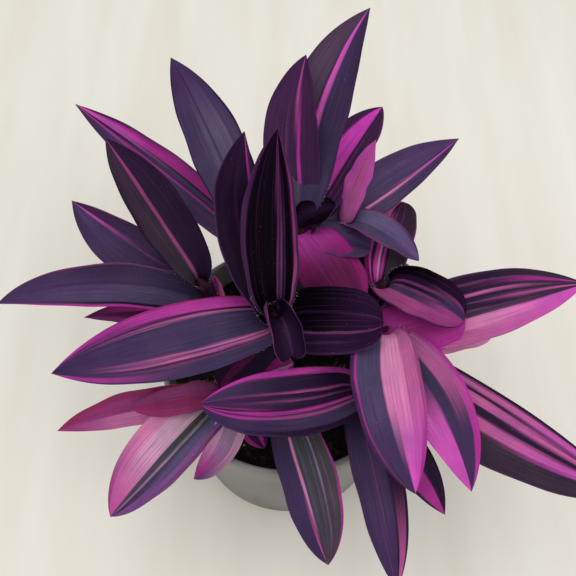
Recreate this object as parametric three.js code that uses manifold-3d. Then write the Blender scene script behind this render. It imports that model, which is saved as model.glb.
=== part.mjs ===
// Potted tradescantia: ten leafy cuttings rooted in a tapered plastic pot full of potting mix.
// Millimetres, +Z up. The origin is the middle of the pot's underside, and -Y is the front.

import * as THREE from 'three';
import { mergeVertices } from 'three/addons/utils/BufferGeometryUtils.js';
import Module from 'manifold-3d';

const wasm = await Module();
wasm.setup();

// Pot
const POT_HEIGHT = 100;
const RIM_RADIUS = 61;
const COLLAR_HEIGHT = 14;
const SHOULDER_RADIUS = 57.2;
const FOOT_RADIUS = 51.6;
const WALL = 1.6;
const FLOOR = 4;
const FOOT_RING_WIDTH = 6.5;
const RECESS_DEPTH = 1.8;
const CENTRE_PAD_RADIUS = 22;
const DRAIN_COUNT = 5;
const DRAIN_RADIUS = 4.5;
const DRAIN_CIRCLE = 34;
const POT_SIDES = 40;

// Soil
const SOIL_TOP = 86;
const SOIL_GAP = 0.3;
const SOIL_BUMP = 1.1;
const HOLE_DEPTH = 25;
const HOLE_CLEARANCE = 0.6;

// Plant
const STEM_RADIUS = 3.2;
const STEM_SIDES = 8;
const STEM_STEPS = 7;
const BLADE_THICKNESS = 1;
const EDGE_THINNING = 0.3;
const SHEATH_ANGLE = 84;
const SHEATH_LENGTH = 7;
const CLASP_LENGTH = 6;
const CLASP_ANGLE = 1.9;
const CLASP_RADIUS = STEM_RADIUS + 0.1;
const YOUNG_RISE = 85;
const YOUNG_CLASP_LENGTH = 14;
const YOUNG_CLASP_ANGLE = 2.9;
const ROLL_LENGTH = 12;
const BASE_WIDTH = 0.62;
const WIDEST_AT = 0.44;
const TIP_POWER = 2.1;
const SLENDER_RATIO = 0.3;
const BLUNTNESS = 5;
const ROUNDNESS = 1.6;
const TIP_HALF_WIDTH = 0.4;
const CENTRELINE_STEPS = 240;
const STATIONS = [0, 0.06, 0.16, 0.34, 0.54, 0.74, 0.9, 1];
const SHORT_LEAF = 52;
const SHORT_STATIONS = [0, 0.13, 0.34, 0.62, 0.87, 1];
const ACROSS = [-1, -0.5, 0, 0.5, 1];

// Each cutting's stem: x and y in the soil, heading of its lean, tilt at the soil, further bend
// by its top, and length over the soil. Each leaf: its place up the stem from 0 to 1, heading,
// rise, droop, sweep, length, width, roll and cup. Headings are in degrees from +X toward +Y.
const CUTTINGS = {
  shoot_centre: [{
    stem: [-4, 4, -100, 4, 10, 60],
    leaves: [
      [1.00, 100, 67, 28, -22, 81, 27, 0, 55],
      [0.88, 147, 57, 12, -84, 87, 28, -25, 45],
      [0.78, -152, 28, 45, -20, 102, 32, 20, 25],
      [0.68, -23, 55, 75, 30, 53, 31, -20, 30],
      [1.00, -72, 88, 170, 0, 29, 20, 0, 80],
      [0.46, -134, 10, 30, 0, 39, 22, 0, 30],
      [0.35, 80, 10, 30, 0, 34, 20, 0, 30],
    ],
  }],
  shoot_left: [{
    stem: [-30, 14, 150, 8, 12, 46],
    leaves: [
      [1.00, 130, 42, 20, 0, 78, 26, 0, 40],
      [0.70, 166, 25, 30, -38, 87, 25, 20, 30],
      [0.60, -174, 52, 80, 0, 107, 22, 30, 50],
      [0.30, -178, 20, 30, 0, 68, 16, 0, 40],
      [0.50, 95, 70, 10, 0, 20, 9, 0, 60],
      [0.40, 140, 5, 40, 0, 66, 24, 0, 30],
    ],
  }],
  shoot_back_left: [{
    stem: [-14, 32, 110, 5, 14, 54],
    leaves: [
      [1.00, 120, 53, 35, 0, 87, 28, 0, 40],
      [0.78, 146, 26, 12, 0, 108, 21, 20, 45],
      [0.45, 105, 15, 70, 0, 66, 24, 0, 30],
    ],
  }],
  shoot_back: [{
    stem: [8, 36, 100, 5, 12, 60],
    leaves: [
      [1.00, 86, 48, 25, -36, 99, 31, 0, 40],
      [0.92, 114, 56, 15, -50, 77, 27, 0, 40],
      [0.82, 56, 33, 33, 0, 75, 27, 0, 45],
      [0.68, 32, 20, 16, 0, 93, 25, -25, 45],
      [0.75, -55, 15, 50, 0, 54, 31, 170, 30],
      [0.95, 20, 40, 70, 0, 26, 14, 150, 50],
      [0.72, -12, 12, 25, 0, 34, 20, 0, 35],
      [0.40, 75, 10, 70, 0, 66, 24, 0, 30],
    ],
  }, {
    stem: [26, 41, 80, 5, 12, 54],
    leaves: [
      [1.00, 42, 82, 18, 0, 50, 15, 150, 80],
      [0.94, -36, 30, 62, 0, 43, 16, 0, 35],
      [0.40, -110, 5, 30, 0, 28, 18, 0, 30],
    ],
  }],
  shoot_back_right: [{
    stem: [36, 20, 20, 6, 16, 38],
    leaves: [
      [1.00, -52, 43, 50, 22, 47, 28, 0, 42],
      [0.92, 79, 22, 27, -12, 47, 24, 0, 45],
      [0.62, 114, 44, 30, 0, 28, 15, 0, 50],
      [0.40, 60, 30, 90, 0, 45, 20, 0, 30],
    ],
  }],
  shoot_right: [{
    stem: [34, -2, 0, 8, 12.2, 41],
    leaves: [
      [0.82, 5, 22, 18, 0, 47, 29, 168, 35],
      [0.97, -103, 36, 60, 35, 84, 31, 0, 30],
      [0.80, -55, 32, 60, -20, 86, 29, 0, 30],
      [0.71, 10, 22, 20, 0, 99, 32, -20, 30],
      [0.52, -57, 20, 47, 50, 140, 35, 0, 30],
      [0.34, 15, 5, 50, 0, 78, 24, 0, 30],
    ],
  }],
  shoot_front_right: [{
    stem: [27, -24, -30, 8, 14, 37],
    leaves: [
      [0.82, -148, 22, 20, -40, 76, 32, 0, 30],
      [0.50, -78, 15, 65, 0, 93, 22, 0, 30],
      [0.35, -48, 8, 60, 0, 74, 21, 0, 30],
    ],
  }],
  shoot_front_left: [{
    stem: [-26, -22, -140, 10, 20, 27],
    leaves: [
      [0.45, -170, 18, 50, 0, 85, 18, 40, 40],
      [0.90, -166, 12, 20, 0, 47, 20, 160, 40],
      [0.65, -130, 18, 42, 0, 75, 30, 0, 30],
      [0.60, -52, 30, 90, -125, 54, 17, 0, 55],
      [0.85, 22, 12, 20, 0, 38, 20, 0, 35],
      [0.35, -56, 14, 30, 0, 32, 15, 0, 40],
    ],
  }],
  shoot_front: [{
    stem: [-2, -28, -90, 10, 20, 20],
    leaves: [
      [0.75, -70, 15, 75, -5, 78, 26, 0, 30],
      [0.55, 25, 10, 40, 0, 20, 12, 0, 40],
    ],
  }],
};

const rad = THREE.MathUtils.degToRad;

// Position-only geometry with its shared vertices merged, no empty triangles and its faces out.
function weld(geometry) {
  const bare = geometry.index ? geometry.toNonIndexed() : geometry.clone();
  bare.deleteAttribute('normal');
  bare.deleteAttribute('uv');
  const merged = mergeVertices(bare, 1e-4);
  const index = merged.index.array;
  const kept = [];
  for (let i = 0; i < index.length; i += 3) {
    const [a, b, c] = [index[i], index[i + 1], index[i + 2]];
    if (a !== b && b !== c && c !== a) kept.push(a, b, c);
  }
  merged.setIndex(kept);
  if (signedVolume(merged.attributes.position.array, kept) < 0) {
    for (let i = 0; i < kept.length; i += 3) [kept[i], kept[i + 1]] = [kept[i + 1], kept[i]];
    merged.setIndex(kept);
  }
  return merged;
}

function signedVolume(points, triangles) {
  const corner = (k) => new THREE.Vector3().fromArray(points, 3 * triangles[k]);
  let sum = 0;
  for (let i = 0; i < triangles.length; i += 3) {
    sum += corner(i).dot(corner(i + 1).cross(corner(i + 2))) / 6;
  }
  return sum;
}

function toSolid(geometry) {
  const welded = weld(geometry);
  return new wasm.Manifold(new wasm.Mesh({
    numProp: 3,
    vertProperties: new Float32Array(welded.attributes.position.array),
    triVerts: new Uint32Array(welded.index.array),
  }));
}

// The outer skin of a solid: its largest shell, without inner voids or loose scraps.
function outerShell(solid) {
  const { vertProperties, triVerts } = solid.getMesh();
  const leader = Array.from({ length: vertProperties.length / 3 }, (_, i) => i);
  const find = (i) => {
    while (leader[i] !== i) {
      leader[i] = leader[leader[i]];
      i = leader[i];
    }
    return i;
  };
  for (let i = 0; i < triVerts.length; i += 3) {
    leader[find(triVerts[i])] = find(triVerts[i + 1]);
    leader[find(triVerts[i + 1])] = find(triVerts[i + 2]);
  }
  const shells = new Map();
  for (let i = 0; i < triVerts.length; i += 3) {
    const shell = find(triVerts[i]);
    if (!shells.has(shell)) shells.set(shell, []);
    shells.get(shell).push(triVerts[i], triVerts[i + 1], triVerts[i + 2]);
  }
  const volume = (triangles) => signedVolume(vertProperties, triangles);
  const largest = [...shells.values()].reduce((a, b) => (volume(a) > volume(b) ? a : b));
  const geometry = new THREE.BufferGeometry();
  geometry.setAttribute('position', new THREE.BufferAttribute(Float32Array.from(vertProperties), 3));
  geometry.setIndex(largest);
  return weld(geometry);
}

// A turned solid about +Z from a profile of [radius, height] points.
function turned(profile) {
  const points = profile.map(([radius, height]) => new THREE.Vector2(radius, height));
  return new THREE.LatheGeometry(points, POT_SIDES).rotateX(Math.PI / 2);
}

// An upright round cutter with its axis at x and y, between two heights.
function drill(x, y, low, high, radius, sides) {
  const cutter = new THREE.CylinderGeometry(radius, radius, high - low, sides);
  return toSolid(cutter.rotateX(Math.PI / 2).translate(x, y, (low + high) / 2));
}

const COLLAR_FOOT = POT_HEIGHT - COLLAR_HEIGHT;
const INNER_SHOULDER = SHOULDER_RADIUS - WALL;
const INNER_FOOT = FOOT_RADIUS - WALL;

// The inside of the pot from the floor's middle to the mouth, moved in by a gap.
function innerProfile(gap) {
  return [
    [0, FLOOR + gap],
    [INNER_FOOT - WALL - gap, FLOOR + gap],
    [INNER_FOOT - gap, FLOOR + WALL + gap],
    [INNER_SHOULDER - gap, COLLAR_FOOT - 2],
    [INNER_SHOULDER + 2.2 - gap, COLLAR_FOOT + 4],
  ];
}

function pot() {
  const recessOuter = FOOT_RADIUS - FOOT_RING_WIDTH;
  const outside = [
    [0, 0],
    [CENTRE_PAD_RADIUS, 0],
    [CENTRE_PAD_RADIUS + RECESS_DEPTH, RECESS_DEPTH],
    [recessOuter - RECESS_DEPTH, RECESS_DEPTH],
    [recessOuter, 0],
    [FOOT_RADIUS - 1, 0],
    [FOOT_RADIUS, 1.2],
    [SHOULDER_RADIUS, COLLAR_FOOT - 0.8],
    [RIM_RADIUS - 0.6, COLLAR_FOOT + 0.2],
    [RIM_RADIUS, POT_HEIGHT - 1.4],
    [RIM_RADIUS - 0.6, POT_HEIGHT - 0.3],
    [RIM_RADIUS - 1.7, POT_HEIGHT],
    [RIM_RADIUS - 2.6, POT_HEIGHT - 0.6],
    [RIM_RADIUS - 2.9, POT_HEIGHT - 3],
  ];
  let solid = toSolid(turned([...outside, ...innerProfile(0).reverse()]));
  for (let i = 0; i < DRAIN_COUNT; i += 1) {
    const angle = (2 * Math.PI * (i + 0.5)) / DRAIN_COUNT;
    const x = DRAIN_CIRCLE * Math.cos(angle);
    const y = DRAIN_CIRCLE * Math.sin(angle);
    solid = solid.subtract(drill(x, y, -1, FLOOR + 1, DRAIN_RADIUS, 16));
  }
  return outerShell(solid);
}

// Potting mix with an uneven top and a plain hole for each stem.
function soil() {
  const side = innerProfile(SOIL_GAP).slice(0, 4);
  const topRings = [52, 39, 26, 13, 0].map((radius) => [radius, SOIL_TOP]);
  const edge = [INNER_SHOULDER + 0.4 - SOIL_GAP, SOIL_TOP - 0.5];
  const geometry = turned([...side, edge, ...topRings]);
  const position = geometry.attributes.position;
  for (let i = 0; i < position.count; i += 1) {
    if (position.getZ(i) < SOIL_TOP - 0.1) continue;
    const x = position.getX(i);
    const y = position.getY(i);
    const wave = Math.sin(x / 7 + 1) * Math.cos(y / 6) + 0.6 * Math.sin(x / 3.1) * Math.sin(y / 3.7 + 2);
    position.setZ(i, SOIL_TOP + SOIL_BUMP * wave);
  }
  let solid = toSolid(geometry);
  for (const { stem } of Object.values(CUTTINGS).flat()) {
    const radius = STEM_RADIUS + HOLE_CLEARANCE;
    solid = solid.subtract(drill(stem[0], stem[1], SOIL_TOP - HOLE_DEPTH, SOIL_TOP + 9, radius, 12));
  }
  return outerShell(solid);
}

// Points along a stem over the soil: its tilt grows evenly from the soil to its top.
function stemLine([x, y, heading, tilt, bend, length]) {
  const steps = 60;
  const points = [new THREE.Vector3(x, y, SOIL_TOP)];
  for (let i = 0; i < steps; i += 1) {
    const lean = rad(tilt + (bend * (i + 0.5)) / steps);
    const run = Math.sin(lean) * (length / steps);
    const step = new THREE.Vector3(
      run * Math.cos(rad(heading)),
      run * Math.sin(rad(heading)),
      Math.cos(lean) * (length / steps),
    );
    points.push(points[i].clone().add(step));
  }
  return points;
}

function stemPoint(stem, share) {
  const line = stemLine(stem);
  const place = share * (line.length - 1);
  const low = Math.min(Math.floor(place), line.length - 2);
  return line[low].clone().lerp(line[low + 1], place - low);
}

function stemSolid(stem) {
  const buried = new THREE.Vector3(stem[0], stem[1], SOIL_TOP - HOLE_DEPTH + SOIL_GAP);
  const line = stemLine(stem);
  const spaced = Array.from({ length: STEM_STEPS }, (_, i) => line[Math.round((i * 60) / (STEM_STEPS - 1))]);
  const path = new THREE.CatmullRomCurve3([buried, ...spaced]);
  const corners = Array.from({ length: STEM_SIDES }, (_, i) => {
    const angle = (2 * Math.PI * i) / STEM_SIDES;
    return new THREE.Vector2(STEM_RADIUS * Math.cos(angle), STEM_RADIUS * Math.sin(angle));
  });
  const options = { steps: STEM_STEPS + 1, extrudePath: path, bevelEnabled: false };
  return toSolid(new THREE.ExtrudeGeometry(new THREE.Shape(corners), options));
}

// A blade widens as a sine from its base to its widest place, then narrows to a point, which is
// blunter and rounder the broader the leaf is for its length.
function widthShare(t, length, width) {
  if (t < WIDEST_AT) return BASE_WIDTH + (1 - BASE_WIDTH) * Math.sin((Math.PI / 2) * (t / WIDEST_AT));
  const breadth = Math.max(0, width / length - SLENDER_RATIO);
  const power = TIP_POWER + BLUNTNESS * breadth;
  const root = Math.max(0.5, 1 - ROUNDNESS * breadth);
  return (1 - ((t - WIDEST_AT) / (1 - WIDEST_AT)) ** power) ** root;
}

// The blade's middle line: up along the stem in its sheath, then out at `rise` degrees, falling
// by `droop` and turning by `sweep` degrees on the way to the tip.
function direction(leaf, t) {
  const [, heading, rise, droop, sweep, length] = leaf;
  const sheath = Math.exp(-(((t * length) / SHEATH_LENGTH) ** 2));
  const free = rise - droop * t;
  const elevation = rad(free + (SHEATH_ANGLE - free) * sheath);
  const azimuth = rad(heading + sweep * t);
  const along = new THREE.Vector3(
    Math.cos(elevation) * Math.cos(azimuth),
    Math.cos(elevation) * Math.sin(azimuth),
    Math.sin(elevation),
  );
  const right = new THREE.Vector3(Math.sin(azimuth), -Math.cos(azimuth), 0);
  const up = right.clone().cross(along);
  return { along, right, up };
}

function centreline(leaf) {
  const points = [new THREE.Vector3()];
  for (let i = 0; i < CENTRELINE_STEPS; i += 1) {
    const { along } = direction(leaf, (i + 0.5) / CENTRELINE_STEPS);
    points.push(points[i].clone().addScaledVector(along, leaf[5] / CENTRELINE_STEPS));
  }
  return points;
}

// Points of the blade's middle surface by station and place across: each cross-section is an arc,
// close round the stem in the sheath and opening to the blade's own cup. A roll past a right
// angle turns the leaf over from its base, and a smaller one comes in along the first part. The
// young leaf, which still stands upright, is rolled closer and for longer than the others.
function bladePoints(stem, leaf) {
  const [share, , rise, , , length, width, roll, cup] = leaf;
  const young = rise > YOUNG_RISE;
  const claspLength = young ? YOUNG_CLASP_LENGTH : CLASP_LENGTH;
  const claspAngle = young ? YOUNG_CLASP_ANGLE : CLASP_ANGLE;
  const line = centreline(leaf);
  const root = stemPoint(stem, share);
  let start;
  const stations = length < SHORT_LEAF ? SHORT_STATIONS : STATIONS;
  return stations.map((t) => {
    const { right, up } = direction(leaf, t);
    const run = t * length;
    const rollShare = Math.abs(roll) > 90 ? 1 : 1 - Math.exp(-((run / ROLL_LENGTH) ** 2));
    const turn = rad(roll) * rollShare;
    const side = right.clone().multiplyScalar(Math.cos(turn)).addScaledVector(up, Math.sin(turn));
    const face = up.clone().multiplyScalar(Math.cos(turn)).addScaledVector(right, -Math.sin(turn));
    const clasp = Math.exp(-((run / claspLength) ** 2));
    const arc = rad(cup) + (claspAngle - rad(cup)) * clasp;
    const blade = Math.max((width / 2) * widthShare(t, length, width), TIP_HALF_WIDTH);
    const half = blade + (claspAngle * CLASP_RADIUS - (width / 2) * BASE_WIDTH) * clasp;
    const radius = half / arc;
    start ??= root.clone().addScaledVector(face, -radius);
    const middle = start.clone().add(line[Math.round(t * CENTRELINE_STEPS)]);
    return ACROSS.map((c) => middle.clone()
      .addScaledVector(side, radius * Math.sin(arc * c))
      .addScaledVector(face, radius * (1 - Math.cos(arc * c))));
  });
}

// A closed blade with both faces split into triangles alike, thinner toward its edges.
function bladeSolid(stem, leaf) {
  const grid = bladePoints(stem, leaf);
  const rows = grid.length;
  const columns = ACROSS.length;
  const normalAt = (i, j) => {
    const alongLeaf = grid[Math.min(i + 1, rows - 1)][j].clone().sub(grid[Math.max(i - 1, 0)][j]);
    const acrossLeaf = grid[i][Math.min(j + 1, columns - 1)].clone().sub(grid[i][Math.max(j - 1, 0)]);
    return acrossLeaf.cross(alongLeaf).normalize();
  };
  const points = [];
  for (const face of [0.5, -0.5]) {
    for (let i = 0; i < rows; i += 1) {
      for (let j = 0; j < columns; j += 1) {
        const thickness = BLADE_THICKNESS * (1 - EDGE_THINNING * ACROSS[j] ** 2);
        const point = grid[i][j].clone().addScaledVector(normalAt(i, j), face * thickness);
        points.push(point.x, point.y, point.z);
      }
    }
  }
  const at = (face, i, j) => face * rows * columns + i * columns + j;
  const triangles = [];
  const quad = (a, b, c, d) => triangles.push(a, b, c, a, c, d);
  for (let i = 0; i < rows - 1; i += 1) {
    for (let j = 0; j < columns - 1; j += 1) {
      quad(at(0, i, j), at(0, i, j + 1), at(0, i + 1, j + 1), at(0, i + 1, j));
      triangles.push(at(1, i, j), at(1, i + 1, j + 1), at(1, i, j + 1));
      triangles.push(at(1, i, j), at(1, i + 1, j), at(1, i + 1, j + 1));
    }
    quad(at(0, i, 0), at(0, i + 1, 0), at(1, i + 1, 0), at(1, i, 0));
    const j = columns - 1;
    quad(at(0, i, j), at(1, i, j), at(1, i + 1, j), at(0, i + 1, j));
  }
  for (let j = 0; j < columns - 1; j += 1) {
    quad(at(0, 0, j), at(1, 0, j), at(1, 0, j + 1), at(0, 0, j + 1));
    quad(at(0, rows - 1, j), at(0, rows - 1, j + 1), at(1, rows - 1, j + 1), at(1, rows - 1, j));
  }
  const geometry = new THREE.BufferGeometry();
  geometry.setAttribute('position', new THREE.Float32BufferAttribute(points, 3));
  geometry.setIndex(triangles);
  return toSolid(geometry);
}

// One node of the plant: a stem with its leaves, or two stems whose leaves grow into each other.
function shoot(stems) {
  const pieces = stems.flatMap(({ stem, leaves }) => [
    stemSolid(stem),
    ...leaves.map((leaf) => bladeSolid(stem, leaf)),
  ]);
  return outerShell(pieces.reduce((joined, piece) => joined.add(piece)));
}

const potPlastic = new THREE.MeshStandardMaterial({ color: '#c9cac8', roughness: 0.55, metalness: 0 });
const pottingMix = new THREE.MeshStandardMaterial({ color: '#1d1714', roughness: 0.95, metalness: 0 });
const purpleLeaf = new THREE.MeshStandardMaterial({ color: '#5a2a63', roughness: 0.5, metalness: 0 });

const plant = new THREE.Group();

function place(name, geometry, material) {
  const mesh = new THREE.Mesh(geometry, material);
  mesh.name = name;
  plant.add(mesh);
}

place('pot', pot(), potPlastic);
place('soil', soil(), pottingMix);
for (const [name, stems] of Object.entries(CUTTINGS)) place(name, shoot(stems), purpleLeaf);

export default plant;
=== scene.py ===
"""Potted tradescantia: ten leafy cuttings with purple and pink striped leaves in a plastic pot.

Metres, +Z up. The origin is the middle of the pot's underside and -Y is the front.
"""

import bpy
import numpy as np
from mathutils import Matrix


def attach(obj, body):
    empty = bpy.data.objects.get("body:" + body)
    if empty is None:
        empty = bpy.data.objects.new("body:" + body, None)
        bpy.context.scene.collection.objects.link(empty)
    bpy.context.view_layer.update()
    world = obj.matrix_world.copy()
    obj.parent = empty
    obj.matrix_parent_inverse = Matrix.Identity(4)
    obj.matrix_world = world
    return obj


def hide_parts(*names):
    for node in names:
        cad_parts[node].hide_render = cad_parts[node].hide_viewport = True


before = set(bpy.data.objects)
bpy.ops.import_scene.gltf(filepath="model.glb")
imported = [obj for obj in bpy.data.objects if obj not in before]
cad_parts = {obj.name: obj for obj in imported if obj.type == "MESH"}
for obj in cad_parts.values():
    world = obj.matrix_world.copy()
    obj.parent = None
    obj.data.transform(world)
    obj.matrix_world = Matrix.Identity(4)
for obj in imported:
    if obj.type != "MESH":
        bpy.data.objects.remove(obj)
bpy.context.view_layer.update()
MM = 0.001


# Camera and floor. The plant stands on a pale table and is seen from the front, from well
# above the leaves. The table is bare pale wood with the faintest lengthwise grain.
camera = bpy.data.objects.new("camera", bpy.data.cameras.new("camera"))
bpy.context.collection.objects.link(camera)
bpy.context.scene.camera = camera
camera.location = (0, -0.167, 0.450)
camera.rotation_euler = (np.radians(30), 0, 0)
camera.data.lens = 50
camera.data.sensor_width = 36
camera.data.clip_start = 0.01


def finish(name, roughness, specular=0.5):
    """A new node material: returns it, its node maker, its linker and its shader."""
    material = bpy.data.materials.new(name)
    material.use_nodes = True
    tree = material.node_tree
    shader = tree.nodes["Principled BSDF"]
    shader.inputs["Roughness"].default_value = roughness
    shader.inputs["Specular IOR Level"].default_value = specular
    return material, tree.nodes.new, tree.links.new, shader


def noise(node, link, vector, scale, detail=3.0):
    """A noise texture on a vector output, as its value output."""
    made = node("ShaderNodeTexNoise")
    made.inputs["Scale"].default_value = scale
    made.inputs["Detail"].default_value = detail
    link(vector, made.inputs["Vector"])
    return made.outputs["Fac"]


def ramp(node, link, value, stops):
    """A colour ramp on a value, from (position, linear colour) stops."""
    made = node("ShaderNodeValToRGB")
    elements = made.color_ramp.elements
    while len(elements) < len(stops):
        elements.new(0.5)
    for element, (position, _) in zip(elements, stops):
        element.position = position
    for element, (_, colour) in zip(elements, stops):
        element.color = (*colour, 1)
    link(value, made.inputs["Fac"])
    return made.outputs["Color"]


def bump(node, link, shader, value, strength, distance):
    """Raises the surface by a value, up to a distance in metres."""
    made = node("ShaderNodeBump")
    made.inputs["Strength"].default_value = strength
    made.inputs["Distance"].default_value = distance
    link(value, made.inputs["Height"])
    link(made.outputs["Normal"], shader.inputs["Normal"])


def object_space(node):
    return node("ShaderNodeTexCoord").outputs["Object"]


table, node, link, shader = finish("table", 0.75, 0.2)
grain = node("ShaderNodeMapping")
grain.inputs["Scale"].default_value = (1, 0.12, 1)
link(object_space(node), grain.inputs["Vector"])
link(ramp(node, link, noise(node, link, grain.outputs["Vector"], 26.0, 5.0),
          [(0.3, (0.765, 0.715, 0.605)), (0.7, (0.85, 0.81, 0.72))]), shader.inputs["Base Color"])
floor_mesh = bpy.data.meshes.new("floor")
floor_mesh.from_pydata([(-3, -3, 0), (3, -3, 0), (3, 3, 0), (-3, 3, 0)], [], [(0, 1, 2, 3)])
floor_mesh.materials.append(table)
floor = bpy.data.objects.new("floor", floor_mesh)
bpy.context.collection.objects.link(floor)


# Pot: one thin moulding in pale grey plastic, tapered, with a collar under its rolled rim, a
# foot ring, and drain holes in the floor. It has a fine moulded grain and smears of dry soil,
# and its pale grey is painted dark as painted shade from the leaves that hang over it.
def grid_faces(rows, columns, closed=False):
    """Quads between neighbouring points of a grid held row by row, closed across if asked."""
    i, j = np.meshgrid(np.arange(rows - 1), np.arange(columns - (not closed)), indexing="ij")
    a = (i * columns + j).ravel()
    b = (i * columns + (j + 1) % columns).ravel()
    return np.stack([a, b, b + columns, a + columns], axis=1)


def piece(name, points, faces, materials, smooth=True):
    """A mesh object at the origin from points and faces in metres."""
    mesh = bpy.data.meshes.new(name)
    mesh.from_pydata(np.asarray(points).tolist(), [], [list(map(int, f)) for f in faces])
    for material in materials:
        mesh.materials.append(material)
    mesh.polygons.foreach_set("use_smooth", [smooth] * len(mesh.polygons))
    made = bpy.data.objects.new(name, mesh)
    bpy.context.collection.objects.link(made)
    return made


def turned(profile, sides):
    """Point (r cos a, r sin a, z) for each profile point (r, z) and each of the angles a."""
    angle = np.linspace(0, 2 * np.pi, sides, endpoint=False)
    radius, height = np.array(profile).T[:, :, None]
    return np.stack([radius * np.cos(angle), radius * np.sin(angle), height + 0 * angle], axis=2)


POT_SIDES = 96
DRAIN_COUNT = 5
DRAIN_RADIUS = 4.5
DRAIN_CIRCLE = 34
DRAIN_SIDES = 24
POT_PROFILE = [
    (21.9, 0), (22.2, 0.1), (23.8, 1.8), (43.3, 1.8), (44.9, 0.1), (45.3, 0), (50.4, 0), (51.1, 0.3),
    (51.6, 1.2), (53.5, 29.2), (55.3, 57.2), (57.1, 84.4), (57.4, 85.2), (60.2, 86.1), (60.5, 86.6),
    (60.75, 92.5), (61.0, 98.6), (60.7, 99.5), (60.0, 99.9), (59.3, 100), (58.7, 99.7), (58.4, 99.2),
    (58.1, 97), (57.8, 90), (55.6, 84), (52.8, 44.8), (50.0, 5.6), (49.5, 4.4), (48.4, 4.0),
    (22, 4.0),
]
rings = turned(POT_PROFILE, POT_SIDES) * MM
around = np.arange(POT_SIDES)
lids = [list(around[::-1]), list((len(rings) - 1) * POT_SIDES + around)]
pot_shell = piece("pot_shell", rings.reshape(-1, 3),
                  [*grid_faces(len(rings), POT_SIDES, closed=True), *lids], [])
drain = turned([(DRAIN_RADIUS, -2), (DRAIN_RADIUS, 8)], DRAIN_SIDES).reshape(1, -1, 3)
turn = 2 * np.pi * (np.arange(DRAIN_COUNT) + 0.5) / DRAIN_COUNT
centres = DRAIN_CIRCLE * np.stack([np.cos(turn), np.sin(turn), 0 * turn], axis=1)[:, None]
low_ring, high_ring = np.arange(2 * DRAIN_SIDES).reshape(2, -1).tolist()
drain_faces = [*grid_faces(2, DRAIN_SIDES, closed=True).tolist(), low_ring[::-1], high_ring]
drain_cutter = piece("drain_cutter", (drain + centres).reshape(-1, 3) * MM,
                     [[corner + 2 * DRAIN_SIDES * i for corner in face]
                      for i in range(DRAIN_COUNT) for face in drain_faces], [])
cut = pot_shell.modifiers.new("drains", "BOOLEAN")
cut.operation = "DIFFERENCE"
cut.object = drain_cutter
bored = bpy.data.meshes.new_from_object(
    pot_shell.evaluated_get(bpy.context.evaluated_depsgraph_get()))
pot_shell.modifiers.clear()
pot_shell.data = bored
bpy.data.objects.remove(drain_cutter)
bored.shade_smooth()
bored.set_sharp_from_angle(angle=np.radians(50))

shaded_pot_plastic, node, link, shader = finish("shaded_pot_plastic", 0.5, 0.4)
space = object_space(node)
smear = node("ShaderNodeMapping")
smear.inputs["Scale"].default_value = (1, 1, 0.35)
link(space, smear.inputs["Vector"])
# painted shade: the plastic is painted dark grey, well below its own pale grey, for the shade of the
# leaves over the pot; the stretched noise in it gives the smears of dry soil.
link(ramp(node, link, noise(node, link, smear.outputs["Vector"], 26.0, 8.0), [
    (0.30, (0.145, 0.13, 0.12)), (0.42, (0.21, 0.20, 0.19)), (0.70, (0.255, 0.248, 0.24)),
]), shader.inputs["Base Color"])
bump(node, link, shader, noise(node, link, space, 1600.0), 0.25, 0.0002)
bored.materials.append(shaded_pot_plastic)
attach(pot_shell, "root")
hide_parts("pot")


# Potting mix: dark moist peat pressed in round the stems, with loose crumbs, bits of bark and
# a few white grains of perlite lying on it. The crumbs are small lumps, each of its own shape.
# The peat is painted darker than peat is, near black, as painted shade under the leaves.
peat, node, link, shader = finish("peat", 0.85, 0.3)
space = object_space(node)
crumb_noise = noise(node, link, space, 420.0, 8.0)
# painted shade: the peat's colours run near black, below moist peat's own dark brown.
link(ramp(node, link, crumb_noise, [
    (0.35, (0.004, 0.003, 0.002)), (0.55, (0.011, 0.008, 0.006)), (0.75, (0.034, 0.023, 0.016)),
]), shader.inputs["Base Color"])
bump(node, link, shader, crumb_noise, 0.9, 0.002)
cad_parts["soil"].data.materials.clear()
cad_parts["soil"].data.materials.append(peat)

bark, node, link, shader = finish("bark", 0.8, 0.3)
link(ramp(node, link, noise(node, link, object_space(node), 900.0), [
    (0.35, (0.014, 0.008, 0.005)), (0.65, (0.060, 0.034, 0.020)),
]), shader.inputs["Base Color"])
perlite, node, link, shader = finish("perlite", 0.9, 0.2)
link(ramp(node, link, noise(node, link, object_space(node), 1500.0), [
    (0.35, (0.42, 0.40, 0.36)), (0.65, (0.70, 0.68, 0.64)),
]), shader.inputs["Base Color"])

SOIL_TOP = 86
SOIL_RADIUS = 53.5
GOLDEN = (1 + 5 ** 0.5) / 2
LUMP = np.array([(-1, GOLDEN, 0), (1, GOLDEN, 0), (-1, -GOLDEN, 0), (1, -GOLDEN, 0),
                 (0, -1, GOLDEN), (0, 1, GOLDEN), (0, -1, -GOLDEN), (0, 1, -GOLDEN),
                 (GOLDEN, 0, -1), (GOLDEN, 0, 1), (-GOLDEN, 0, -1), (-GOLDEN, 0, 1)]) / 1.9
LUMP_FACES = np.array([(0, 11, 5), (0, 5, 1), (0, 1, 7), (0, 7, 10), (0, 10, 11), (1, 5, 9),
                       (5, 11, 4), (11, 10, 2), (10, 7, 6), (7, 1, 8), (3, 9, 4), (3, 4, 2),
                       (3, 2, 6), (3, 6, 8), (3, 8, 9), (4, 9, 5), (2, 4, 11), (6, 2, 10),
                       (8, 6, 7), (9, 8, 1)])


def soil_height(x, y):
    """Height in millimetres: the mean top plus a long wave and a short one across it."""
    wave = np.sin(x / 7 + 1) * np.cos(y / 6) + 0.6 * np.sin(x / 3.1) * np.sin(y / 3.7 + 2)
    return SOIL_TOP + 1.1 * wave


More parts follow.
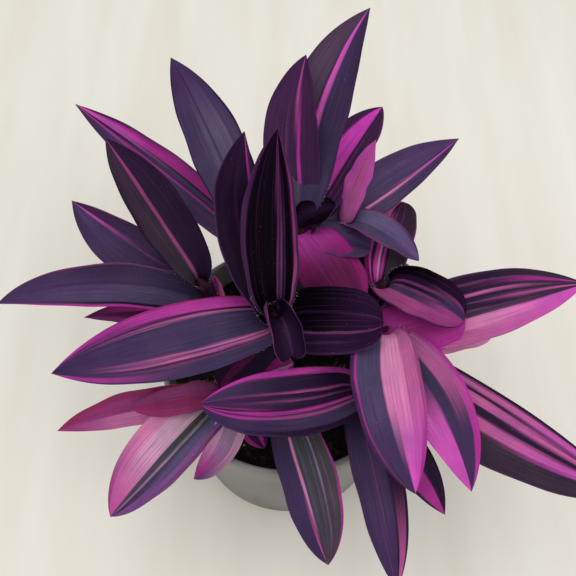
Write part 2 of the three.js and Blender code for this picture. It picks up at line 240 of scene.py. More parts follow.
def crumbs(name, count, low, high, flatness, material, seed):
    """Lumps spread evenly over a disc: each is a twelve-cornered ball with its corners pushed
    in or out, flattened, turned about z and resting on the soil."""
    rng = np.random.default_rng(seed)
    radius = SOIL_RADIUS * np.sqrt(rng.random(count))
    angle = 2 * np.pi * rng.random(count)
    size = low + (high - low) * rng.random(count) ** 2
    x, y = radius * np.cos(angle), radius * np.sin(angle)
    shape = LUMP * (0.75 + 0.5 * rng.random((count, 12, 1))) * size[:, None, None]
    shape = shape * np.array([1.25, 0.85, flatness])
    spin = 2 * np.pi * rng.random(count)[:, None]
    across = shape[..., 0] * np.cos(spin) - shape[..., 1] * np.sin(spin) + x[:, None]
    deep = shape[..., 0] * np.sin(spin) + shape[..., 1] * np.cos(spin) + y[:, None]
    tall = shape[..., 2] + (soil_height(x, y) + 0.25 * size * flatness)[:, None]
    points = np.stack([across, deep, tall], axis=2).reshape(-1, 3) * MM
    faces = (LUMP_FACES + 12 * np.arange(count)[:, None, None]).reshape(-1, 3)
    made = piece(name, points, faces, [material], smooth=False)
    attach(made, "root")


crumbs("peat_crumbs", 1500, 0.5, 1.9, 0.8, peat, 3)
crumbs("bark_chips", 170, 0.8, 2.6, 0.45, bark, 5)
crumbs("perlite_grains", 60, 0.35, 1.0, 0.9, perlite, 7)


# Leaf finish. A leaf is dark purple with lengthwise stripes of pink where the colour is missing
# from the skin. Its upper side is satin with fine veins, and its underside is a clear magenta.
COLOURS = {
    # ink is near black, darker than the leaf's own dark purple: painted shade for the deepest shade on the
    # middle leaves and in the gap behind them.
    "ink": (0.003, 0.001, 0.0035),
    "dark": (0.015, 0.005, 0.021),
    "brown": (0.035, 0.022, 0.033),
    "umber": (0.058, 0.040, 0.060),
    "green": (0.048, 0.050, 0.049),
    "plum": (0.045, 0.014, 0.052),
    # slate, steel and ash are partly the leaf's own blue-grey bloom and partly painted sheen, the sky's
    # reflection on the satin upper side.
    "slate": (0.044, 0.027, 0.071),
    "steel": (0.064, 0.044, 0.099),
    "ash": (0.090, 0.075, 0.125),
    "dusk": (0.095, 0.072, 0.150),
    "violet": (0.170, 0.070, 0.200),
    "lilac": (0.300, 0.190, 0.290),
    "mauve": (0.140, 0.033, 0.105),
    "wine": (0.090, 0.006, 0.045),
    "claret": (0.270, 0.032, 0.110),
    "cerise": (0.270, 0.016, 0.140),
    "berry": (0.280, 0.050, 0.165),
    "magenta": (0.380, 0.032, 0.245),
    "dusty": (0.430, 0.095, 0.260),
    "pink": (0.520, 0.088, 0.375),
    # bright is a pink stripe painted lighter than its own colour: painted light on the wide stripe of a
    # back leaf.
    "bright": (0.620, 0.060, 0.440),
    "rose": (0.580, 0.190, 0.360),
    "pale": (0.560, 0.310, 0.410),
}


LEAF_ROUGHNESS = 0.42
WAVER = 0.075
WAVER_SCALE = (5.0, 2.2, 1)
STREAK_SCALE = (95.0, 2.6, 1)
THREAD_SCALE = (34.0, 0.7, 1)
CLOUD_SCALE = 75.0
DUST_SCALE = 1300.0


def band_stops(bands, soft):
    """Ramp stops for bands given as 'colour edge colour edge ... colour', each edge blurred."""
    words = bands.split()
    colours, edges = [COLOURS[w] for w in words[::2]], [float(w) for w in words[1::2]]
    stops = [(0.0, colours[0])]
    for edge, before, after in zip(edges, colours, colours[1:]):
        stops += [(edge - soft, before), (edge + soft, after)]
    return stops


def leaf_finish(name, base, tip=None, fade=(0.45, 0.95), soft=0.014, root=(1.15, 1.4, 1.2)):
    """Stripes across the leaf's width at its base and at its tip, one fading into the other
    between two places along it. The stripes waver a little and their edges are fibrous, fine
    streaks run through every colour, and root is the change of colour at the leaf's base."""
    material, node, link, shader = finish(name, LEAF_ROUGHNESS, 0.04 if "ink" in base else 0.12)
    surface = node("ShaderNodeUVMap")
    surface.uv_map = "blade"
    split = node("ShaderNodeSeparateXYZ")
    link(surface.outputs["UV"], split.inputs["Vector"])
    along = split.outputs["Y"]

    def stretched(scale):
        made = node("ShaderNodeMapping")
        made.inputs["Scale"].default_value = scale
        made.inputs["Location"].default_value = (len(name) * 3.7, ord(name[-1]) * 1.9, 0)
        link(surface.outputs["UV"], made.inputs["Vector"])
        return made.outputs["Vector"]

    waver = node("ShaderNodeMath")
    waver.operation = "MULTIPLY_ADD"
    link(noise(node, link, stretched(WAVER_SCALE), 1.0, 2.0), waver.inputs[0])
    waver.inputs[1].default_value = WAVER
    link(split.outputs["X"], waver.inputs[2])
    streaks = noise(node, link, stretched(STREAK_SCALE), 1.0, 4.0)
    across = node("ShaderNodeMath")
    across.operation = "MULTIPLY_ADD"
    link(streaks, across.inputs[0])
    across.inputs[1].default_value = WAVER
    centred = node("ShaderNodeMath")
    centred.operation = "SUBTRACT"
    link(waver.outputs[0], centred.inputs[0])
    centred.inputs[1].default_value = WAVER
    link(centred.outputs[0], across.inputs[2])
    colour = ramp(node, link, across.outputs[0], band_stops(base, soft))

    def mixed(factor, first, second, kind="MIX"):
        made = node("ShaderNodeMix")
        made.data_type = "RGBA"
        made.blend_type = kind
        if isinstance(factor, float):
            made.inputs["Factor"].default_value = factor
        else:
            link(factor, made.inputs["Factor"])
        link(first, made.inputs[6])
        link(second, made.inputs[7])
        return made.outputs[2]

    def share(value, low, high):
        made = node("ShaderNodeMapRange")
        made.interpolation_type = "SMOOTHSTEP"
        made.inputs["From Min"].default_value = low
        made.inputs["From Max"].default_value = high
        link(value, made.inputs["Value"])
        return made.outputs["Result"]

    if tip:
        colour = mixed(share(along, *fade), colour,
                       ramp(node, link, across.outputs[0], band_stops(tip, soft)))
    threads = ramp(node, link, noise(node, link, stretched(THREAD_SCALE), 1.0, 2.0), [
        (0.56, (0, 0, 0)), (0.72, (0.09, 0.020, 0.075))])
    colour = mixed(0.25, colour, threads, "ADD")
    shade = ramp(node, link, along, [(0.0, root), (0.45, (1, 1, 1)), (1.0, (1, 0.75, 1))])
    colour = mixed(1.0, colour, shade, "MULTIPLY")
    shade = ramp(node, link, streaks, [(0.30, (0.62, 0.60, 0.66)), (0.50, (1, 1, 1)),
                                       (0.72, (1.42, 1.38, 1.34))])
    colour = mixed(0.85, colour, shade, "MULTIPLY")
    clouds = noise(node, link, object_space(node), CLOUD_SCALE, 5.0)
    shade = ramp(node, link, clouds, [(0.30, (0.78, 0.80, 0.90)), (0.70, (1.18, 1.14, 1.10))])
    colour = mixed(0.8, colour, shade, "MULTIPLY")
    dust = noise(node, link, object_space(node), DUST_SCALE, 1.0)
    colour = mixed(0.13, colour, ramp(node, link, dust, [
        (0.74, (0, 0, 0)), (0.80, (0.5, 0.48, 0.5))]), "ADD")
    link(colour, shader.inputs["Base Color"])
    gloss = node("ShaderNodeMapRange")
    gloss.inputs["To Min"].default_value = LEAF_ROUGHNESS - 0.08
    gloss.inputs["To Max"].default_value = LEAF_ROUGHNESS + 0.12
    link(clouds, gloss.inputs["Value"])
    link(gloss.outputs["Result"], shader.inputs["Roughness"])
    bump(node, link, shader, streaks, 0.35, 0.0003)
    shader.inputs["Specular Tint"].default_value = (0.85, 0.65, 1.0, 1)
    return material


SHADED = (0.6, 0.5, 0.55)
UNDERSIDES = {
    "magenta": leaf_finish("underside_magenta", "magenta 0.3 cerise 0.5 magenta 0.9 cerise",
                           soft=0.1, root=SHADED),
    "mauve": leaf_finish("underside_mauve", "pink 0.35 dusty 0.65 pink", soft=0.1),
    "rose": leaf_finish("underside_rose", "claret 0.3 berry 0.6 claret", soft=0.1, root=SHADED),
    "plum": leaf_finish("underside_plum", "mauve 0.2 plum 0.48 mauve 0.52 plum 0.8 mauve", soft=0.06),
    "wine": leaf_finish("underside_wine", "cerise 0.3 magenta", "wine 0.85 cerise", (0.15, 0.65),
                        soft=0.12),
    # painted shade: a near-black underside for the small leaf that fills the dark gap.
    "ink": leaf_finish("underside_ink", "ink 0.4 dark 0.6 ink", soft=0.1),
}


# Stems and hairs. A cutting is one fleshy jointed stem, a little thicker where each leaf's
# sheath wraps it, and soft white hairs fringe each sheath and the lowest edge of its blade.
shaded_stem_skin, node, link, shader = finish("shaded_stem_skin", 0.45, 0.2)
long_way = node("ShaderNodeMapping")
long_way.inputs["Scale"].default_value = (1, 1, 0.12)
link(object_space(node), long_way.inputs["Vector"])
stem_noise = noise(node, link, long_way.outputs["Vector"], 900.0, 4.0)
# painted shade: the stem skin is painted near black, darker than its own purple, for the shade it stands
# in under the leaves.
link(ramp(node, link, stem_noise, [
    (0.32, (0.012, 0.003, 0.009)), (0.50, (0.030, 0.006, 0.019)), (0.70, (0.050, 0.012, 0.031)),
]), shader.inputs["Base Color"])
bump(node, link, shader, stem_noise, 0.3, 0.0003)

hair_white, node, link, shader = finish("hair_white", 0.6, 0.3)
link(ramp(node, link, noise(node, link, object_space(node), 300.0), [
    (0.3, (0.40, 0.30, 0.38)), (0.7, (0.60, 0.52, 0.58)),
]), shader.inputs["Base Color"])

STEM_RADIUS = 3.2
STEM_STEPS = 60
STEM_SIDES = 14
BUD_LENGTH = 4
BURIED = 24.4
BUD_SHARES = np.linspace(0.15, 1, 6)


def stem_line(x, y, heading, tilt, bend, length):
    """Points up a stem whose lean grows evenly from its tilt at the soil, in millimetres."""
    lean = np.radians(tilt + bend * (np.arange(STEM_STEPS) + 0.5) / STEM_STEPS)
    turn = np.radians(heading)
    step = np.stack([np.sin(lean) * np.cos(turn), np.sin(lean) * np.sin(turn), np.cos(lean)], 1)
    start = np.array([[x, y, SOIL_TOP]])
    return np.concatenate([start, start + np.cumsum(step * length / STEM_STEPS, axis=0)])


def stem_tube(stem, joints):
    """A round tube along the stem line from its buried foot: the radius swells by a ninth in a
    narrow hump at each joint, and its top runs out to a short pointed bud inside the last leaf."""
    line = stem_line(*stem)
    foot = line[:1] - np.array([[0, 0, BURIED]])
    top_way = (line[-1] - line[-2]) / np.linalg.norm(line[-1] - line[-2])
    bud = line[-1] + BUD_LENGTH * BUD_SHARES[:, None] * top_way
    path = np.concatenate([foot, foot + [[0, 0, 1.2]], line, bud])
    run = np.arange(len(path)) - 2.0
    hump = np.exp(-(((run[:, None] - STEM_STEPS * np.array(joints)) / 2.0) ** 2)).max(axis=1)
    radius = (STEM_RADIUS - 0.25) * (1 + 0.11 * hump)
    radius[0] *= 0.55
    radius[-len(BUD_SHARES):] = (STEM_RADIUS - 0.4) * (1 - 0.97 * BUD_SHARES**1.6)
    angle = np.linspace(0, 2 * np.pi, STEM_SIDES, endpoint=False)
    circle = np.stack([np.cos(angle), np.sin(angle), 0 * angle], axis=1)
    points = path[:, None] + radius[:, None, None] * circle[None]
    last = (len(path) - 1) * STEM_SIDES
    ends = [list(range(STEM_SIDES))[::-1], list(range(last, last + STEM_SIDES))]
    return points.reshape(-1, 3), [*grid_faces(len(path), STEM_SIDES, closed=True).tolist(), *ends]


# Leaf blade. Its base wraps the stem as a sheath, then the blade leaves it, widens and comes to
# a point. It is channelled along its middle, and its edges are thin and waver a little.
SHEATH_ANGLE = 84
SHEATH_LENGTH = 7
CLASP_LENGTH = 6
CLASP_ANGLE = 1.9
ROLL_LENGTH = 12
BASE_WIDTH = 0.62
WIDEST_AT = 0.44
TIP_POWER = 2.1
SLENDER_RATIO = 0.3
BLUNTNESS = 5
ROUNDNESS = 1.6
YOUNG_RISE = 85
YOUNG_CLASP_LENGTH = 14
YOUNG_CLASP_ANGLE = 2.9
ROWS = 49
COLUMNS = 21
CENTRELINE_STEPS = 240
HALF_THICKNESS = 0.42
TIP_HALF_WIDTH = 0.12
RIPPLE = 0.38
CREASE = 0.45
CREASE_WIDTH = 0.09


def frames(leaf, t):
    """Along, right and up directions at shares t of the leaf: it starts up the stem and bends to
    its own rise, which falls by droop, while its heading turns by sweep."""
    _, heading, rise, droop, sweep, length, *_ = leaf
    free = rise - droop * t
    rise_at = np.radians(free + (SHEATH_ANGLE - free) * np.exp(-((t * length / SHEATH_LENGTH) ** 2)))
    turn = np.radians(heading + sweep * t)
    along = np.stack([np.cos(rise_at) * np.cos(turn), np.cos(rise_at) * np.sin(turn),
                      np.sin(rise_at)], axis=1)
    right = np.stack([np.sin(turn), -np.cos(turn), 0 * turn], axis=1)
    return along, right, np.cross(right, along)


def blade_surface(stem, leaf, rng):
    """The blade's middle surface and its normals on a grid. Each row is an arc about the middle
    line, closed round the stem in the sheath and opening to the blade's own cup; its half width
    is a sine up to the widest place and then (1 - u**power)**root down to the tip, which is
    blunter and rounder the broader the leaf is. A young leaf, which stands upright, is rolled
    closer for longer."""
    share, _, rise, _, _, length, width, roll, cup = leaf
    young = rise > YOUNG_RISE
    clasp_length = YOUNG_CLASP_LENGTH if young else CLASP_LENGTH
    clasp_angle = YOUNG_CLASP_ANGLE if young else CLASP_ANGLE
    t = np.linspace(0, 1, ROWS) ** 1.15
    c = np.linspace(-1, 1, COLUMNS)
    marks = np.arange(CENTRELINE_STEPS + 1)
    along, _, _ = frames(leaf, (marks[:-1] + 0.5) / CENTRELINE_STEPS)
    line = np.concatenate([np.zeros((1, 3)), np.cumsum(along * length / CENTRELINE_STEPS, axis=0)])
    _, right, up = frames(leaf, t)
    run = t * length
    turned_share = 1 if abs(roll) > 90 else 1 - np.exp(-((run / ROLL_LENGTH) ** 2))
    turn = np.radians(roll) * turned_share * np.ones(ROWS)
    side = right * np.cos(turn)[:, None] + up * np.sin(turn)[:, None]
    face = up * np.cos(turn)[:, None] - right * np.sin(turn)[:, None]
    clasp = np.exp(-((run / clasp_length) ** 2))
    arc = np.radians(cup) + (clasp_angle - np.radians(cup)) * clasp
    lower = BASE_WIDTH + (1 - BASE_WIDTH) * np.sin(np.pi / 2 * t / WIDEST_AT)
    breadth = max(0, width / length - SLENDER_RATIO)
    past = np.maximum(t - WIDEST_AT, 0) / (1 - WIDEST_AT)
    upper = (1 - past ** (TIP_POWER + BLUNTNESS * breadth)) ** max(0.5, 1 - ROUNDNESS * breadth)
    half = np.maximum(width / 2 * np.where(t < WIDEST_AT, lower, upper), TIP_HALF_WIDTH)
    half = half + (clasp_angle * (STEM_RADIUS + 0.1) - width / 2 * BASE_WIDTH) * clasp
    radius = half / arc
    place = share * STEM_STEPS
    root = [np.interp(place, np.arange(STEM_STEPS + 1), stem_line(*stem)[:, k]) for k in range(3)]
    middle = np.stack([np.interp(t * CENTRELINE_STEPS, marks, line[:, k]) for k in range(3)], 1)
    middle = middle + root - face[0] * radius[0]
    bent = arc[:, None] * c
    points = (middle[:, None] + side[:, None] * (radius[:, None] * np.sin(bent))[..., None]
              + face[:, None] * (radius[:, None] * (1 - np.cos(bent)))[..., None])
    normal = face[:, None] * np.cos(bent)[..., None] - side[:, None] * np.sin(bent)[..., None]
    free = 1 - np.exp(-((run / 14) ** 2))
    phase = rng.random(3) * 2 * np.pi
    ripple = (np.sin(2 * np.pi * (2.3 * t + 0.25 * c[:, None]) + phase[0])
              + 0.6 * np.sin(2 * np.pi * (4.1 * t - 0.3 * c[:, None]) + phase[1])).T * c**2 * RIPPLE
    crease = -CREASE * np.exp(-((c / CREASE_WIDTH) ** 2))
    lift = free[:, None] * np.minimum(1, 3 * (1 - t))[:, None] * (ripple + crease)
    return points + normal * lift[..., None], normal, t, c


def blade_mesh(stem, leaf, rng):
    """A closed blade: the middle surface moved out by half the thickness on each side, thinner
    to its edges, with a rim between the two. Returns points, faces, materials and surface map."""
    surface, normal, t, c = blade_surface(stem, leaf, rng)
    thickness = (HALF_THICKNESS * (1 - 0.75 * c**4))[None, :, None] * (1 - 0.6 * t**6)[:, None, None]
    points = np.concatenate([(surface + normal * thickness).reshape(-1, 3),
                             (surface - normal * thickness).reshape(-1, 3)])
    quads = grid_faces(ROWS, COLUMNS)
    count = ROWS * COLUMNS
    grid = np.arange(count).reshape(ROWS, COLUMNS)
    edge = np.concatenate([grid[0], grid[1:, -1], grid[-1, -2::-1], grid[-2:0:-1, 0]])
    after = np.roll(edge, -1)
    rim = np.stack([after, edge, edge + count, after + count], axis=1)
    faces = np.concatenate([quads, quads[:, ::-1] + count, rim])
    sort = np.concatenate([np.zeros(len(quads)), np.ones(len(quads)), np.zeros(len(rim))])
    across, along = np.meshgrid((c + 1) / 2, t)
    spot = np.stack([across.ravel(), along.ravel()], axis=1)
    return points, faces, sort.astype(int), np.concatenate([spot, spot])


HAIR_COUNT = 54
HAIR_RADIUS = 0.04
FRINGE_SHARE = 0.17


def fringe(stem, leaf, rng):
    """Hairs: thin three-sided spikes on both edges of the lowest sixth of the leaf, leaning out
    and up by a random amount, each 1 to 2.4 mm long."""
    surface, normal, t, _ = blade_surface(stem, leaf, rng)
    last = int(np.searchsorted(t, FRINGE_SHARE))
    row = rng.integers(0, last, HAIR_COUNT)
    edge = np.where(rng.random(HAIR_COUNT) < 0.5, 0, COLUMNS - 1)
    root = surface[row, edge]
    out = root - surface[row, np.where(edge == 0, 2, COLUMNS - 3)]
    out = out / np.linalg.norm(out, axis=1, keepdims=True)
    way = out + 0.7 * normal[row, edge] + 0.8 * rng.normal(size=(HAIR_COUNT, 3)) * 0.6
    way = way / np.linalg.norm(way, axis=1, keepdims=True)
    across = np.cross(way, rng.normal(size=(HAIR_COUNT, 3)))
    across = across / np.linalg.norm(across, axis=1, keepdims=True)
    third = np.cross(way, across)
    angle = 2 * np.pi * np.arange(3) / 3
    circle = across[:, None] * np.cos(angle)[:, None] + third[:, None] * np.sin(angle)[:, None]
    foot = root[:, None] + HAIR_RADIUS * circle
    top = root + way * (1.0 + 1.4 * rng.random(HAIR_COUNT))[:, None]
    points = np.concatenate([foot, top[:, None]], axis=1).reshape(-1, 3)
    faces = np.array([(0, 2, 1), (0, 1, 3), (1, 2, 3), (2, 0, 3)])
    faces = faces + 4 * np.arange(HAIR_COUNT)[:, None, None]
    return points, faces.reshape(-1, 3)


STEM_SLOT = 0
HAIR_SLOT = 1
FIRST_UNDERSIDE_SLOT = 2


def shoot(name, cuttings, seed):
    """One piece for a CAD shoot: for each cutting its stem, its leaves and their hairs. A leaf is
    given as its numbers, its stripes at the base and at the tip, its underside, and for a few
    where its stripes change."""
    rng = np.random.default_rng(seed)
    points, faces, sorts, spots = [], [], [], []
    materials = [shaded_stem_skin, hair_white, *UNDERSIDES.values()]
    shared = len(materials)
    total = 0

    def add(new_points, new_faces, new_sorts, new_spots):
        nonlocal total
        points.append(new_points)
        faces.extend((np.asarray(f) + total).tolist() for f in new_faces)
        sorts.extend(new_sorts)
        spots.append(new_spots)
        total += len(new_points)

    for stem, leaves in cuttings:
        tube, tube_faces = stem_tube(stem, [leaf[0] for leaf, *_ in leaves])
        add(tube, tube_faces, [STEM_SLOT] * len(tube_faces), np.zeros((len(tube), 2)))
        for leaf, base, tip, underside, *fade in leaves:
            hairs, hair_faces = fringe(stem, leaf, rng)
            add(hairs, hair_faces, [HAIR_SLOT] * len(hair_faces), np.zeros((len(hairs), 2)))
            blade, blade_faces, sides, spot = blade_mesh(stem, leaf, rng)
            under = FIRST_UNDERSIDE_SLOT + list(UNDERSIDES).index(underside)
            add(blade, blade_faces, np.where(sides == 1, under, len(materials)).tolist(), spot)
            materials.append(leaf_finish(f"{name}_leaf_{len(materials) - shared + 1}", base, tip, *fade))
    made = piece(name + "_grown", np.concatenate(points) * MM, faces, materials)
    mesh = made.data
    mesh.polygons.foreach_set("material_index", sorts)
    corners = np.empty(len(mesh.loops), int)
    mesh.loops.foreach_get("vertex_index", corners)
    mesh.uv_layers.new(name="blade").data.foreach_set("uv", np.concatenate(spots)[corners].ravel())
    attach(made, "root")
    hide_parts(name)


# Middle cutting: the tallest, with two nearly black upright leaves, a young leaf still rolled at
# its tip, one broad leaf to each side and shorter ones under them.
shoot("shoot_centre", [((-4, 4, -100, 4, 10, 60), [
    ((1.00, 100, 67, 28, -22, 81, 27, 0, 55),
     "plum 0.10 ink 0.61 mauve 0.63 dark 0.66 mauve 0.69 dark 0.73 plum 0.75 ink 0.90 berry 0.96 plum",
     "plum 0.12 ink 0.58 mauve 0.60 dark 0.63 mauve 0.65 ink 0.88 mauve 0.96 plum", "plum"),
    ((0.88, 147, 57, 12, -84, 87, 28, -25, 45),
     "plum 0.05 dark 0.50 plum 0.55 dark 0.92 plum",
     "plum 0.05 dark 0.78 magenta 0.85 plum 0.95 dark", "plum"),
    ((0.78, -152, 28, 45, -20, 102, 32, 20, 25),
     "slate 0.18 mauve 0.21 dark 0.24 dusty 0.28 slate 0.31 dusty 0.34 slate 0.76 dusty 0.79 "
     "dark 0.83 magenta 0.97 cerise",
     "slate 0.04 magenta 0.14 slate 0.83 mauve 0.86 slate 0.93 magenta", "plum"),
    ((0.68, -23, 55, 75, 30, 53, 31, -20, 30),
     "ink 0.34 dark 0.37 ink 0.65 mauve 0.68 dark 0.81 plum 0.84 dark 0.97 plum",
     "dark 0.36 plum 0.40 dark 0.64 mauve 0.67 dark 0.97 plum", "plum"),
    ((1.00, -72, 88, 170, 0, 29, 20, 0, 80),
     "plum 0.05 dark 0.42 plum 0.47 dark 0.95 mauve", None, "plum"),
    ((0.46, -134, 10, 30, 0, 39, 22, 0, 30), "dark 0.4 wine 0.6 dark", None, "rose"),
    ((0.35, 80, 10, 30, 0, 34, 20, 0, 30), "dark 0.30 plum 0.36 dark", None, "plum"),
])], 11)


# Left cutting: one broad upright leaf with a pink midrib, and long low leaves to the left.
shoot("shoot_left", [((-30, 14, 150, 8, 12, 46), [
    ((1.00, 130, 42, 20, 0, 78, 26, 0, 40),
     "dark 0.05 brown 0.44 berry 0.51 dark", "dark 0.03 brown 0.44 berry 0.50 dark", "plum"),
    ((0.70, 166, 25, 30, -38, 87, 25, 20, 30),
     "slate 0.62 mauve 0.66 slate 0.96 plum", "slate 0.30 steel 0.64 pink 0.71 plum 0.97 mauve",
     "plum"),
    ((0.60, -174, 52, 80, 0, 107, 22, 30, 50),
     "magenta 0.06 dark 0.12 steel 0.52 slate 0.96 mauve",
     "magenta 0.04 steel 0.50 steel 0.97 mauve", "plum"),
    ((0.30, -178, 20, 30, 0, 68, 16, 0, 40),
     "magenta 0.3 wine 0.6 magenta", "mauve 0.4 wine", "rose"),
    ((0.50, 95, 70, 10, 0, 20, 9, 0, 60), "pink 0.4 magenta 0.7 rose", None, "magenta"),
    ((0.40, 140, 5, 40, 0, 66, 24, 0, 30), "slate 0.3 mauve 0.36 slate", None, "plum"),
])], 12)


# Back left cutting: one plain blue-grey leaf and one long striped leaf, both reaching back.
shoot("shoot_back_left", [((-14, 32, 110, 5, 14, 54), [
    ((1.00, 120, 53, 35, 0, 87, 28, 0, 40),
     "dark 0.02 steel 0.40 ash 0.50 slate 0.53 ash 0.80 steel 0.96 dark",
     "dark 0.03 slate 0.50 dark 0.53 slate 0.97 dark", "plum"),
    ((0.78, 146, 26, 12, 0, 108, 21, 20, 45),
     "mauve 0.05 steel 0.30 mauve 0.34 steel 0.48 magenta 0.52 slate 0.56 steel 0.66 dark 0.70 "
     "magenta 0.95 mauve", "slate 0.40 magenta 0.48 dark 0.60 pink 0.82 magenta 0.90 dark",
     "plum"),
    ((0.45, 105, 15, 70, 0, 66, 24, 0, 30), "slate 0.5 magenta 0.56 slate", None, "plum"),
])], 13)


# Back cuttings: two that stand close together, whose leaves grow into one another. Their long
# leaves have a bright midrib, and some of the low ones lie turned over.
shoot("shoot_back", [((8, 36, 100, 5, 12, 60), [
    ((1.00, 86, 48, 25, -36, 99, 31, 0, 40),
     "plum 0.04 umber 0.44 slate 0.97 plum",
     "plum 0.04 umber 0.45 dark 0.47 pink 0.57 slate 0.97 plum", "plum", (0.16, 0.34)),
    ((0.92, 114, 56, 15, -50, 77, 27, 0, 40),
     "plum 0.40 mauve 0.42 plum 0.59 magenta 0.65 plum", "plum 0.52 mauve 0.54 dusty 0.59 mauve 0.61 plum",
     "plum"),
    ((0.82, 56, 33, 33, 0, 75, 27, 0, 45),
     "plum 0.20 bright 0.55 plum 0.62 mauve 0.65 plum 0.75 mauve 0.78 plum",
     "plum 0.24 bright 0.55 plum 0.94 mauve", "plum"),
    ((0.68, 32, 20, 16, 0, 93, 25, -25, 45),
     "steel 0.66 dark 0.68 rose 0.73 steel 0.97 plum", "steel 0.60 dark 0.64 pink 0.70 slate",
     "plum"),
    ((0.75, -55, 15, 50, 0, 54, 31, 170, 30),
     "magenta 0.3 mauve 0.7 wine", None, "wine"),
    # painted shade: a small turned leaf, near black on both sides, fills the dark gap between the back
    # leaves.
    ((0.95, 20, 40, 70, 0, 26, 14, 150, 50), "ink 0.5 dark", None, "ink"),
    ((0.72, -12, 12, 25, 0, 34, 20, 0, 35), "steel 0.4 slate 0.6 steel", None, "plum"),
    ((0.40, 75, 10, 70, 0, 66, 24, 0, 30), "slate 0.5 magenta 0.56 slate", None, "plum"),
]), ((26, 41, 80, 5, 12, 54), [
    ((1.00, 42, 82, 18, 0, 50, 15, 150, 80),
     "dusty 0.5 rose", "dusty 0.5 magenta", "mauve"),
    ((0.94, -36, 30, 62, 0, 43, 16, 0, 35), "mauve 0.05 dusk 0.5 steel 0.9 mauve",
     "plum 0.1 dusk 0.6 steel", "plum"),
    ((0.40, -110, 5, 30, 0, 28, 18, 0, 30), "dark 0.5 wine", None, "magenta"),
])], 14)


# Back right cutting: small, with a striped leaf standing up behind the turned ones and a short
# broad leaf curling over to the right.
shoot("shoot_back_right", [((36, 20, 20, 6, 16, 38), [
    ((1.00, -52, 43, 50, 22, 47, 28, 0, 42),
     "ink 0.18 dark 0.28 mauve 0.33 dark 0.41 mauve 0.46 slate 0.58 berry 0.95 plum",
     "dark 0.20 mauve 0.27 slate 0.46 berry 0.93 plum", "magenta"),
    ((0.92, 79, 22, 27, -12, 47, 24, 0, 45),
     "wine 0.12 magenta 0.18 dark 0.26 magenta 0.35 rose 0.40 dark 0.44 magenta 0.49 dark 0.54 "
     "brown 0.95 mauve",
     "dusty 0.32 dark 0.42 mauve 0.46 brown 0.62 mauve 0.66 brown", "magenta"),
    ((0.62, 114, 44, 30, 0, 28, 15, 0, 50), "wine 0.3 pink 0.5 dark 0.8 magenta", None, "magenta"),
    ((0.40, 60, 30, 90, 0, 45, 20, 0, 30), "dark 0.4 wine 0.6 dark", None, "magenta"),
])], 15)


# Right cutting: the most striped one, with leaves that arch out and down over the rim, and one
# short leaf that lies turned over and shows its magenta underside.
shoot("shoot_right", [((34, -2, 0, 8, 12.2, 41), [
    ((0.82, 5, 22, 18, 0, 47, 29, 168, 35), "magenta 0.4 wine 0.8 magenta", None, "magenta"),
    ((0.97, -103, 36, 60, 35, 84, 31, 0, 30),
     "berry 0.05 dusty 0.24 rose 0.54 steel 0.91 magenta 0.94 plum",
     "magenta 0.10 pink 0.44 slate 0.90 mauve 0.93 plum", "plum"),
    ((0.80, -55, 32, 60, -20, 86, 29, 0, 30),
     "magenta 0.05 dusty 0.32 slate 0.74 rose", "magenta 0.14 slate 0.50 pink", "mauve",
     (0.35, 0.75)),
    ((0.71, 10, 22, 20, 0, 99, 32, -20, 30),
     "plum 0.02 dark 0.13 mauve 0.16 dark 0.29 dusty 0.34 dark 0.42 mauve 0.44 dark 0.52 mauve 0.54 "
     "brown 0.62 rose 0.80 dusty",
     "plum 0.02 brown 0.16 magenta 0.22 brown 0.40 dusty 0.46 brown 0.60 pink", "mauve"),
    ((0.52, -57, 20, 47, 50, 140, 35, 0, 30),
     "dark 0.05 dusty 0.13 dark 0.18 dusty 0.28 dark 0.40 dusty 0.54 brown 0.97 plum",
     "dark 0.04 pink 0.17 dark 0.22 dusty 0.31 dark 0.44 pink 0.60 brown 0.97 plum", "plum"),
    ((0.34, 15, 5, 50, 0, 78, 24, 0, 30),
     "dusty 0.5 rose", None, "mauve"),
])], 16)


# Front right cutting: a broad leaf lies back across the middle of the pot, and two narrow ones
# hang over the rim to the front.
shoot("shoot_front_right", [((27, -24, -30, 8, 14, 37), [
    ((0.82, -148, 22, 20, -40, 76, 32, 0, 30),
     "dark 0.10 slate 0.31 berry 0.35 plum 0.39 magenta 0.43 dark 0.55 mauve 0.58 dark 0.66 berry 0.69 "
     "dark 0.90 magenta",
     "slate 0.30 magenta 0.35 plum 0.38 magenta 0.42 dark 0.46 berry 0.49 plum 0.68 mauve 0.71 "
     "slate 0.92 magenta", "plum"),
    ((0.50, -78, 15, 65, 0, 93, 22, 0, 30),
     "dark 0.30 slate 0.52 mauve 0.55 slate 0.97 plum",
     "dark 0.06 dusty 0.26 dark 0.32 slate 0.62 mauve 0.65 slate 0.97 plum", "plum"),
    ((0.35, -48, 8, 60, 0, 74, 21, 0, 30),
     "dark 0.42 magenta 0.90 dark", "dark 0.40 magenta 0.90 plum", "magenta"),
])], 17)


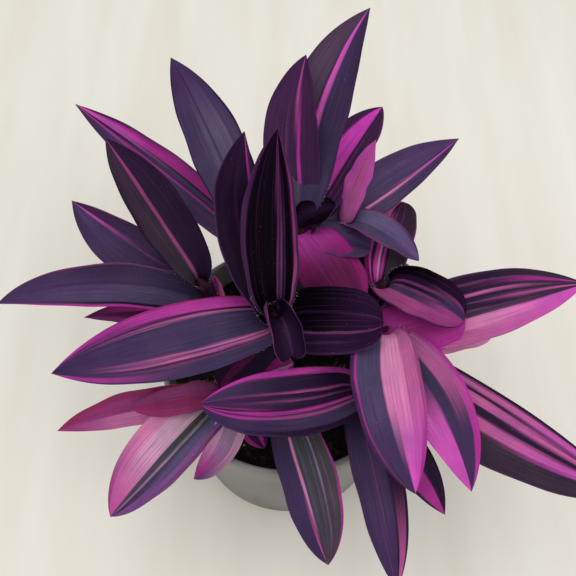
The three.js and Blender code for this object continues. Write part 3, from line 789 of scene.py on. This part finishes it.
# Front left cutting: low and short, with pink leaves that lie out over the rim, one of them
# turned over and one folded down, and two small ones that point back over the soil.
shoot("shoot_front_left", [((-26, -22, -140, 10, 20, 27), [
    ((0.45, -170, 18, 50, 0, 85, 18, 40, 40),
     "rose 0.4 berry 0.8 claret", "berry 0.5 claret", "rose"),
    ((0.90, -166, 12, 20, 0, 47, 20, 160, 40), "magenta 0.5 rose", None, "rose"),
    ((0.65, -130, 18, 42, 0, 75, 30, 0, 30),
     "mauve 0.05 violet 0.16 dusk 0.30 green 0.35 lilac 0.38 green 0.48 pale 0.78 rose",
     "violet 0.24 slate 0.36 lilac 0.39 green 0.48 dusty 0.90 berry", "mauve"),
    ((0.60, -52, 30, 90, -125, 54, 17, 0, 55),
     "pale 0.3 lilac 0.7 pale", "violet 0.4 magenta", "magenta"),
    ((0.85, 22, 12, 20, 0, 38, 20, 0, 35), "rose 0.18 green 0.26 magenta 0.55 pale 0.70 magenta",
     None, "rose"),
    ((0.35, -56, 14, 30, 0, 32, 15, 0, 40), "plum 0.3 magenta 0.5 plum 0.8 magenta", None,
     "magenta"),
])], 18)


# Front cutting: the youngest, with one green-grey leaf over the rim and one small one.
shoot("shoot_front", [((-2, -28, -90, 10, 20, 20), [
    ((0.75, -70, 15, 75, -5, 78, 26, 0, 30),
     "magenta 0.03 green 0.16 mauve 0.18 green 0.28 lilac 0.29 dusk 0.31 green 0.37 dusk 0.38 green 0.50 "
     "dusk 0.52 green 0.58 rose 0.63 slate 0.97 plum",
     "magenta 0.04 green 0.27 mauve 0.28 green 0.58 dark 0.63 dusty 0.68 slate 0.97 plum", "plum"),
    ((0.55, 25, 10, 40, 0, 20, 12, 0, 40), "slate 0.4 mauve 0.6 pink", None, "magenta"),
])], 19)


# Light: soft daylight from above and a little behind, as under a large window, and pale walls
# all round.
def area_light(name, place, size, power, tilt):
    lamp = bpy.data.objects.new(name, bpy.data.lights.new(name, "AREA"))
    lamp.data.shape = "DISK"
    lamp.data.size = size
    lamp.data.energy = power
    lamp.location = place
    lamp.rotation_euler = np.radians(tilt)
    bpy.context.collection.objects.link(lamp)


area_light("window", (-0.3, 0.1, 1.7), 1.6, 10.0, (-3, -10, 0))
area_light("room", (0.7, -0.7, 1.2), 1.2, 5.5, (32, 32, 0))
world = bpy.data.worlds.new("daylight")
world.use_nodes = True
world.node_tree.nodes["Background"].inputs["Color"].default_value = (0.93, 0.96, 1.0, 1)
world.node_tree.nodes["Background"].inputs["Strength"].default_value = 0.67
bpy.context.scene.world = world
bpy.context.scene.view_settings.view_transform = "Standard"
